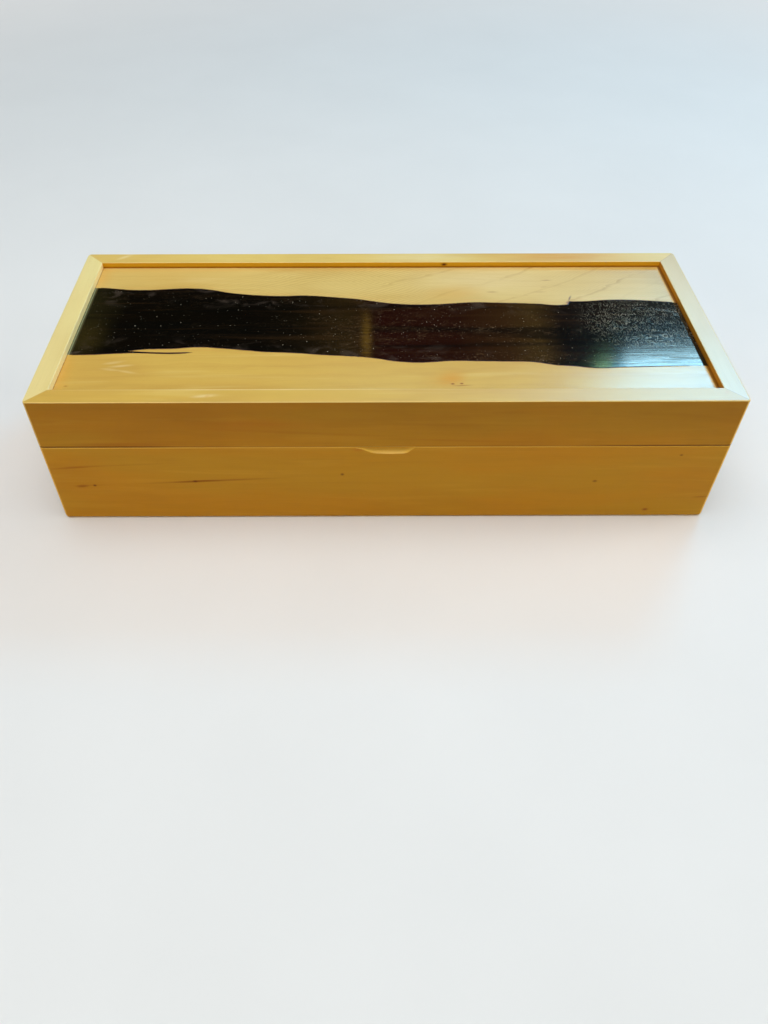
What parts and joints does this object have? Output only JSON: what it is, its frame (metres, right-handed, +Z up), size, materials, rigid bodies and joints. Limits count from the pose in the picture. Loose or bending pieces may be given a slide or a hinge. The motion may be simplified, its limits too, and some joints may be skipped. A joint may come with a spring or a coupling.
{
  "type": "hinged keepsake box",
  "caption": "Long wooden keepsake box with mitred boards, a thumb notch and a back-hinged lid whose sunk live-edge panel holds a dark cast strip.",
  "frame": {"origin": "centre of the boards' underside, on the surface that the box stands on", "axes": "+X along the box to its right end, +Y to the hinged back, +Z up; the thumb notch faces -Y"},
  "size_m": [0.35, 0.1439, 0.0805],
  "materials": {
    "honey_wood": "clear gloss lacquer",
    "panel_wood": "clear gloss lacquer",
    "dark_resin": "polished",
    "brass": "brushed"
  },
  "bodies": {
    "base": {"base_front_board": "honey_wood", "base_back_board": "honey_wood", "base_left_board": "honey_wood", "base_right_board": "honey_wood", "base_floor_panel": "panel_wood", "left_hinge_base_leaf": "brass", "left_hinge_pin": "brass", "left_hinge_base_screws": "brass", "right_hinge_base_leaf": "brass", "right_hinge_pin": "brass", "right_hinge_base_screws": "brass"},
    "lid": {"lid_front_rail": "honey_wood", "lid_back_rail": "honey_wood", "lid_left_rail": "honey_wood", "lid_right_rail": "honey_wood", "lid_panel_front_board": "panel_wood", "lid_panel_back_board": "panel_wood", "resin_strip": "dark_resin", "left_hinge_lid_leaf": "brass", "left_hinge_lid_screws": "brass", "right_hinge_lid_leaf": "brass", "right_hinge_lid_screws": "brass"}
  },
  "joints": [
    {"name": "lid_hinge", "type": "hinge", "parent": "base", "child": "lid", "pos_m": [0, 0.071, 0.0515], "axis": [-1, 0, 0], "range_deg": [0, 95]}
  ]
}
